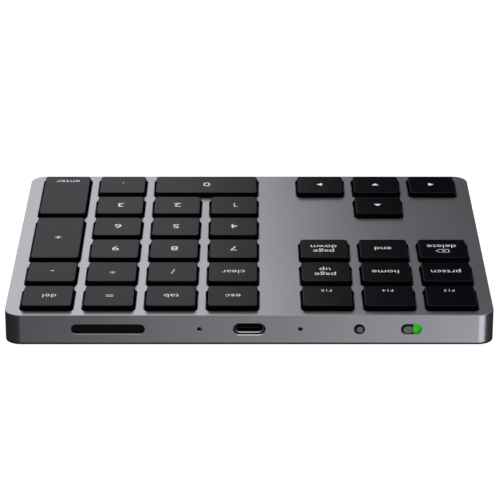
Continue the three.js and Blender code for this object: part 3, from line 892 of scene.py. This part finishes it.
def make_light_pipes():
    for name, x in zip(("status", "charge"), LIGHT_X):
        low, high = box_mm(f"{name}_light_pipe")
        bm = bmesh.new()
        dome = [(0.45, high.y - 0.2), (0.38, high.y - 0.07), (0.22, high.y - 0.01), (0.05, high.y)]
        add_turned(bm, [(0.45, low.y + 1.9), *dome], (x, 0, PORT_HEIGHT), 20, "Y")
        pipe = new_object(f"{name}_pipe", mesh_from(bm, "pipe"))
        foot = bmesh.new()
        add_rounded_box(foot, (low.x, low.y, low.z), (high.x, low.y + 2.0, high.z), 0.2, 0.1)
        carve(pipe, foot, "UNION")
        # the near-black pipe colour is painted shade in the pinholes
        dress(pipe, "pipe", slot="light_pipe", replaces=[f"{name}_light_pipe"])


def make_pairing_button():
    """A domed cap on a stem, held behind the wall by a flange."""
    low, high = box_mm("pairing_button")
    radius, front = 1.06, REAR_FACE - 0.06
    middle = (PAIRING_X - 0.12, 0, PORT_HEIGHT - 0.32)
    bm = bmesh.new()
    profile = [(radius, PORT_INSIDE - 0.6), (radius, front - 0.3), (radius - 0.04, front - 0.18)]
    profile += [(radius - 0.14, front - 0.09), (radius - 0.35, front - 0.03), (0.05, front)]
    add_turned(bm, profile, middle, 40, "Y")
    button = object_from(bm, "round_button")
    flange = bmesh.new()
    add_rounded_box(flange, (low.x, PORT_INSIDE - 0.8, PORT_HEIGHT - 1.6),
                    (high.x, PORT_INSIDE - 0.2, PORT_HEIGHT + 1.6), 0.1, 0.08)
    carve(button, flange, "UNION")
    stem = [(0.6, low.y), (0.6, PORT_INSIDE - 0.5)]
    carve_turned(button, stem, (PAIRING_X, 0, PORT_HEIGHT), 24, "UNION", "Y")
    dress(button, "grey", "pairing_button", slot="switch_grey", replaces=["pairing_button"])
    # painted shade: the grey button is painted black behind its face, inside the hole
    paint_faces(button, "window", lambda middle, normal: middle.y < front - 0.25)


def make_power_slider():
    """The knob in its slot, on the slider's plate, with the green strip beside it."""
    low, high = box_mm("power_switch_slider")
    mark_low, mark_high = box_mm("power_on_mark")
    knob_width, knob_height, height = 3.15, 2.35, PORT_HEIGHT - 0.3
    knob_x = mark_high.x + 0.05 + knob_width / 2
    plate_back = PORT_INSIDE - 0.9
    bm = bmesh.new()

    def knob_ring(inset, y):
        return rear_ring(stadium(knob_width, knob_height, -inset, 10, (knob_x, height)), y)

    rings = [knob_ring(inset, REAR_FACE - 0.06 - drop) for inset, drop in edge_arc(0.22, 4)]
    add_loft(bm, [knob_ring(0, plate_back), *rings])
    slider = object_from(bm, "switch_knob")
    plate = bmesh.new()
    add_box(plate, (low.x, plate_back, PORT_HEIGHT - 2.2), (high.x, PORT_INSIDE - 0.25, PORT_HEIGHT + 2.2))
    add_box(plate, (knob_x - 0.6, low.y, PORT_HEIGHT - 0.5),
            (knob_x + 0.6, plate_back + 0.1, PORT_HEIGHT + 0.5))
    carve(slider, plate, "UNION")
    dress(slider, "grey", "power_slider", slot="switch_grey", replaces=["power_switch_slider"])
    # painted shade: the grey slider's plate behind the knob is painted black, inside the slot
    paint_faces(slider, "window", lambda middle, normal: middle.y < PORT_INSIDE - 0.2)

    bm = bmesh.new()
    add_rounded_box(bm, mark_low, mark_high, 0.05, 0.03, 2)
    # the strip's glow is painted light
    piece_from(bm, "green_strip", "green", "power_slider", slot="mark_green", replaces=["power_on_mark"])


make_usb_socket()
make_antenna_window()
make_light_pipes()
make_pairing_button()
make_power_slider()

# ---- key mechanism ---------------------------------------

DOME_BASE = SHEET_TOP + 0.02
DOME_TOP = CAP_CEILING - 0.06


def add_path_rod(bm, points, radius, steps=10):
    """A round rod through a list of points."""
    rings = []
    side = None
    for i, point in enumerate(points):
        along = (points[min(i + 1, len(points) - 1)] - points[max(i - 1, 0)]).normalized()
        side = Vector((0, 0, 1)).cross(along) if side is None else side - along * side.dot(along)
        if side.length < 1e-6:
            side = Vector((1, 0, 0)).cross(along)
        side.normalize()
        up = along.cross(side)
        turns = [2 * math.pi * k / steps for k in range(steps)]
        rings.append([point + (side * math.cos(t) + up * math.sin(t)) * radius for t in turns])
    add_loft(bm, rings)


def rounded_path(corners, bend, steps=6):
    """Points of a path with straight runs and rounded corners."""
    points = [corners[0]]
    for before, at, after in zip(corners, corners[1:], corners[2:]):
        start = at + (before - at).normalized() * bend
        end = at + (after - at).normalized() * bend
        for step in range(steps + 1):
            t = step / steps
            points.append(start * (1 - t) ** 2 + at * 2 * t * (1 - t) + end * t * t)
    points.append(corners[-1])
    return points


def squash_with_key(piece):
    """Gives a piece under a keycap a mesh of its own."""
    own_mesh(piece)


def make_domes():
    for key in KEYS:
        x, y = key_centre(key)
        bm = bmesh.new()
        outer = [(2.85, DOME_BASE), (2.85, DOME_BASE + 0.15), (2.3, DOME_BASE + 0.5), (1.75, DOME_TOP - 1.0)]
        outer += [(1.5, DOME_TOP - 0.75), (1.42, DOME_TOP - 0.1), (1.3, DOME_TOP), (0.5, DOME_TOP)]
        inner = [(0.4, DOME_TOP - 0.9), (1.0, DOME_TOP - 1.0), (1.45, DOME_TOP - 1.15)]
        inner += [(2.0, DOME_BASE + 0.35), (DOME_HOLE_RADIUS, DOME_BASE)]

        def rows(profile):
            return add_loft(bm, [flat_ring(circle(r, (x, y), 24), z) for r, z in profile], close=False)

        outer_rows, inner_rows = rows(outer), rows(inner)
        bm.faces.new(outer_rows[-1])
        bm.faces.new(inner_rows[0])
        add_skin(bm, outer_rows[0], inner_rows[-1])
        dome = piece_from(bm, f"dome_{key}", "silicone", slot="silicone_domes")
        squash_with_key(dome)


def make_dome_sheet():
    """The flat part of the dome sheet, with a hole under each dome."""
    bm = bmesh.new()
    width, depth = SHEET_HIGH.x - SHEET_LOW.x, SHEET_HIGH.y - SHEET_LOW.y
    outline = rounded_rect(width, depth, CORNER_RADIUS - WALL, 6)
    outer = add_loft(bm, [flat_ring(outline, SHEET_LOW.z), flat_ring(outline, SHEET_TOP)], close=False)
    holes = []
    for key in KEYS:
        ring = circle(DOME_HOLE_RADIUS, key_centre(key), 24)
        holes.append(add_loft(bm, [flat_ring(ring, SHEET_LOW.z), flat_ring(ring, SHEET_TOP)], close=False))
    for level in (0, 1):
        add_face_with_holes(bm, outer[level], [hole[level] for hole in holes])
    film = object_from(bm, "dome_sheet_film")
    for x, y in screw_places():
        radius = 2.4 if abs(x) < 20 else 1.5
        carve_turned(film, [(radius, SHEET_LOW.z - 1), (radius, SHEET_TOP + 1)], (x, y, 0), 24)
    dress(film, "silicone", slot="silicone_domes", replaces=["dome_sheet"])


def add_scissor_frame(bm, half_width, half_length, lift, bar=0.8, thickness=0.55):
    """One link of a scissor pair: a rectangular frame that rises from one end to the other."""
    low, high = DOME_BASE + 0.05, DOME_TOP - 0.05 - thickness
    rows = []
    for inset in (0, bar):
        for level in (0, thickness):
            ring = []
            for px, py in rounded_rect(2 * (half_width - inset), 2 * (half_length - inset), 0.5, 4):
                share = (py * lift + half_length) / (2 * half_length)
                ring.append(bm.verts.new((px, py, low + (high - low) * share + level)))
            rows.append(ring)
    for first, second in ((0, 1), (1, 3), (3, 2), (2, 0)):
        add_skin(bm, rows[first], rows[second])


def place_at_key(bm, key):
    """Moves a mesh from the origin to its key, turned a quarter on the keys that are two rows tall."""
    turn_and_move(bm, -math.pi / 2 if key_extra(key)[1] > 0 else 0.0, *key_centre(key))


def make_scissors():
    for key in KEYS:
        for name, half_width, lift in (("outer", 5.6, 1), ("inner", 4.55, -1)):
            bm = bmesh.new()
            add_scissor_frame(bm, half_width, 3.9, lift)
            place_at_key(bm, key)
            link = piece_from(bm, f"scissor_{name}_{key}", "link")
            squash_with_key(link)


def make_stabiliser_wires():
    def hinge(x):
        return Vector((x, WIRE_HINGE_OFFSET, WIRE_HINGE_Z))

    def bar(x):
        return Vector((x, WIRE_BAR_OFFSET, WIRE_BAR_Z))

    span, tip = WIRE_HALF_SPAN, WIRE_HALF_SPAN - WIRE_TIP
    corners = [hinge(-tip), hinge(-span), bar(-span), bar(span), hinge(span), hinge(tip)]
    for key in ("0", "plus", "enter"):
        bm = bmesh.new()
        add_path_rod(bm, rounded_path(corners, 0.8), WIRE_RADIUS)
        place_at_key(bm, key)
        node = f"stabiliser_wire_{key}"
        piece_from(bm, f"wire_{key}", "bright", node, slot="spring_wire", replaces=[node])


make_dome_sheet()
make_domes()
make_scissors()
make_stabiliser_wires()

# ---- battery and board -----------------------------------


def make_battery():
    """A foil pouch cell with folded sides, and its head seam, guard board and tape."""
    low, high = box_mm("battery_pouch")
    head = high.y - 3.5
    seam = low.z + 1.45
    bm = bmesh.new()
    add_rounded_box(bm, (low.x + 0.4, low.y, low.z), (high.x - 0.4, head + 0.5, high.z - 0.06), 1.2, 0.6, 5)
    for side in (low.x, high.x - 0.35):
        add_rounded_box(bm, (side, low.y + 1.5, low.z + 0.4),
                        (side + 0.35, head - 1, high.z - 0.4), 0.15, 0.12)
    add_rounded_box(bm, (low.x + 2, head, seam), (high.x - 2, high.y, seam + 0.25), 0.3, 0.05)
    piece_from(bm, "battery_cell", "foil", slot="battery_foil", replaces=["battery_pouch"])

    bm = bmesh.new()
    add_rounded_box(bm, (LEAD_X - 9, head + 0.9, seam + 0.26),
                    (LEAD_X + 9, high.y - 0.4, seam + 0.76), 0.3, 0.05)
    piece_from(bm, "battery_guard_board", "board")
    bm = bmesh.new()
    for x in (low.x + 9, high.x - 9):
        add_rounded_box(bm, (x - 3, head - 7, high.z - 0.055), (x + 3, head + 0.2, high.z), 0.4, 0.02)
    add_rounded_box(bm, (low.x + 5, head + 0.6, seam + 0.77),
                    (high.x - 5, high.y - 0.1, seam + 0.85), 0.4, 0.02)
    piece_from(bm, "battery_tape", "tape")


def make_battery_lead():
    """A red and a black wire side by side, and the white plug in the board's lead socket."""
    low, high = box_mm("battery_lead")
    plug = high.y - 3.1
    under, over = low.z + 0.6, high.z - 0.6
    run = [(low.y, under), (low.y + 2.7, under), (plug - 4.8, over), (plug + 0.3, over)]
    for name, side in (("red", -0.31), ("black", 0.31)):
        bm = bmesh.new()
        corners = [Vector((LEAD_X + side, y, z)) for y, z in run]
        add_path_rod(bm, rounded_path(corners, 1.5), 0.29)
        standing = {"slot": "lead_insulation", "replaces": ["battery_lead"]} if name == "red" else {}
        piece_from(bm, f"{name}_battery_wire", name, **standing)
    bm = bmesh.new()
    add_rounded_box(bm, (low.x + 0.02, plug + 0.31, high.z - 1.08),
                    (high.x - 0.02, high.y, high.z - 0.12), 0.2, 0.1)
    piece_from(bm, "battery_plug", "link")


def make_board_parts():
    """Chip capacitors with tinned ends, a crystal can and two coils along the main board."""
    low = box_mm("main_board")[0]
    top = box_mm("controller_chip")[0].z - 0.04
    bodies, ends, cans = bmesh.new(), bmesh.new(), bmesh.new()
    for index in range(14):
        x = 18.5 + 0.9 * (index % 7)
        y = low.y + 6 + 2.2 * (index // 7)
        add_rounded_box(bodies, (x - 0.15, y - 0.3, top), (x + 0.15, y + 0.3, top + 0.3), 0.04, 0.03)
        for end in (-0.36, 0.36):
            add_rounded_box(ends, (x - 0.16, y + end - 0.1, top),
                            (x + 0.16, y + end + 0.1, top + 0.32), 0.04, 0.03)
    add_rounded_box(cans, (4.5, low.y + 2, top), (7.7, low.y + 4.5, top + 0.7), 0.4, 0.1)
    for x in (-24, -29):
        add_rounded_box(bodies, (x - 1.5, low.y + 4, top), (x + 1.5, low.y + 7, top + 1.2), 0.4, 0.15)
    piece_from(bodies, "board_capacitors_and_coils", "ceramic")
    piece_from(ends, "capacitor_ends", "bright")
    piece_from(cans, "crystal_can", "steel")


LEAD_X = (box_mm("battery_lead")[0].x + box_mm("battery_lead")[1].x) / 2
make_battery()
make_battery_lead()
make_board_parts()

# ---- CAD nodes that keep their shape ---------------------

for node, material in {
    "support_plate": "steel",
    "membrane_circuit": "film",
    "main_board": "board",
    "controller_chip": "black",
    "pairing_switch_body": "black",
    "power_switch_body": "steel",
}.items():
    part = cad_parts[node]
    part.data.materials.clear()
    part.data.materials.append(MATERIALS[material])

# ---- floor, lights and camera ----------------------------


def make_floor():
    """A white table that shines by itself, and that reflections, bounced light and shadows leave out."""
    bm = bmesh.new()
    outline = rounded_rect(6000, 6000, 100, 2)
    add_loft(bm, [flat_ring(outline, -2.0), flat_ring(outline, -0.01)])
    floor = object_from(bm, "floor")
    material, _ = new_material("white_table", (0.15, 0.15, 0.15), 0.9, Emission_Color=(1, 1, 1, 1),
                               Emission_Strength=0.98)
    floor.data.materials.append(material)
    floor.visible_glossy = False
    floor.visible_diffuse = False
    floor.visible_shadow = False


def add_panel(name, azimuth, elevation, distance, size, radiance, centre=(0.0, 0.0, 0.006)):
    """A soft rectangular light. Azimuth 0 is over the ports and 90 over -X, in degrees; metres."""
    turn, rise = math.radians(azimuth), math.radians(elevation)
    toward = Vector((-math.sin(turn) * math.cos(rise), math.cos(turn) * math.cos(rise), math.sin(rise)))
    light = bpy.data.lights.new(name, "AREA")
    light.shape = "RECTANGLE"
    light.size, light.size_y = size
    light.energy = radiance * math.pi * size[0] * size[1]
    light.color = DAYLIGHT
    panel = new_object(name, light)
    panel.location = Vector(centre) + toward * distance
    panel.rotation_euler = toward.to_track_quat("Z", "Y").to_euler()
    panel.visible_camera = False


def make_sky():
    """A dome that is dim at the horizon and bright overhead."""
    world = bpy.data.worlds.new("studio")
    bpy.context.scene.world = world
    world.use_nodes = True
    nodes, links = graph(world)
    place = nodes.new("ShaderNodeTexCoord")
    split = nodes.new("ShaderNodeSeparateXYZ")
    links.new(place.outputs["Generated"], split.inputs[0])
    clamp = nodes.new("ShaderNodeClamp")
    links.new(split.outputs["Z"], clamp.inputs["Value"])
    power = nodes.new("ShaderNodeMath")
    power.operation = "POWER"
    links.new(clamp.outputs["Result"], power.inputs[0])
    power.inputs[1].default_value = SKY_FALL
    level = nodes.new("ShaderNodeMath")
    level.operation = "MULTIPLY_ADD"
    links.new(power.outputs[0], level.inputs[0])
    level.inputs[1].default_value = SKY_TOP - SKY_LOW
    level.inputs[2].default_value = SKY_LOW
    links.new(level.outputs[0], nodes["Background"].inputs["Strength"])
    set_inputs(nodes["Background"], Color=(*DAYLIGHT, 1.0))


DAYLIGHT = (0.98, 0.985, 1.03)
SKY_LOW = 0.03
SKY_TOP = 0.3
SKY_FALL = 3.0


# Azimuth, elevation, distance, size and radiance of each panel, and the place it faces if not the middle.
# Those below 0 degrees light the rear wall through the table, which casts no shadow.
PANELS = {
    "front_panel": (202, 32.0, 0.84, (0.60, 0.54), 0.775),
    "front_wide_panel": (199, 32.0, 0.84, (0.62, 0.54), 0.775),
    "upper_panel": (180, 90, 1.1, (1.6, 1.5), 1.6),
    "rear_upper_panel": (0, 27, 1.15, (1.1, 0.5), 0.6),
    "left_upper_panel": (90, 25, 1.15, (1.0, 0.5), 0.5),
    "right_upper_panel": (270, 25, 1.15, (1.0, 0.5), 0.5),
    "rear_bright_panel": (30.5, -22.5, 1.0, (0.77, 0.9), 2.0, (-0.065, 0.06, 0.006)),
    "rear_middle_panel": (1.7, -22.5, 0.99, (0.2, 0.9), 0.15, (0.0, 0.06, 0.006)),
    "rear_dim_panel": (3.2, -22.5, 1.0, (0.235, 0.9), 0.46, (0.0, 0.06, 0.006)),
}


def make_lights():
    make_sky()
    for name, facts in PANELS.items():
        add_panel(name, *facts)


def make_camera():
    camera = bpy.data.cameras.new("camera")
    camera.lens = 190.6
    camera.sensor_width = 36.0
    camera.clip_end = 50.0
    view = new_object("camera", camera)
    view.location = (-0.00023, 0.7956, 0.3375)
    looking_down = 22.54
    view.rotation_euler = (math.radians(90 - looking_down), 0.0, math.radians(180))
    bpy.context.scene.camera = view


make_floor()
make_lights()
make_camera()
bpy.context.scene.view_settings.view_transform = "Standard"
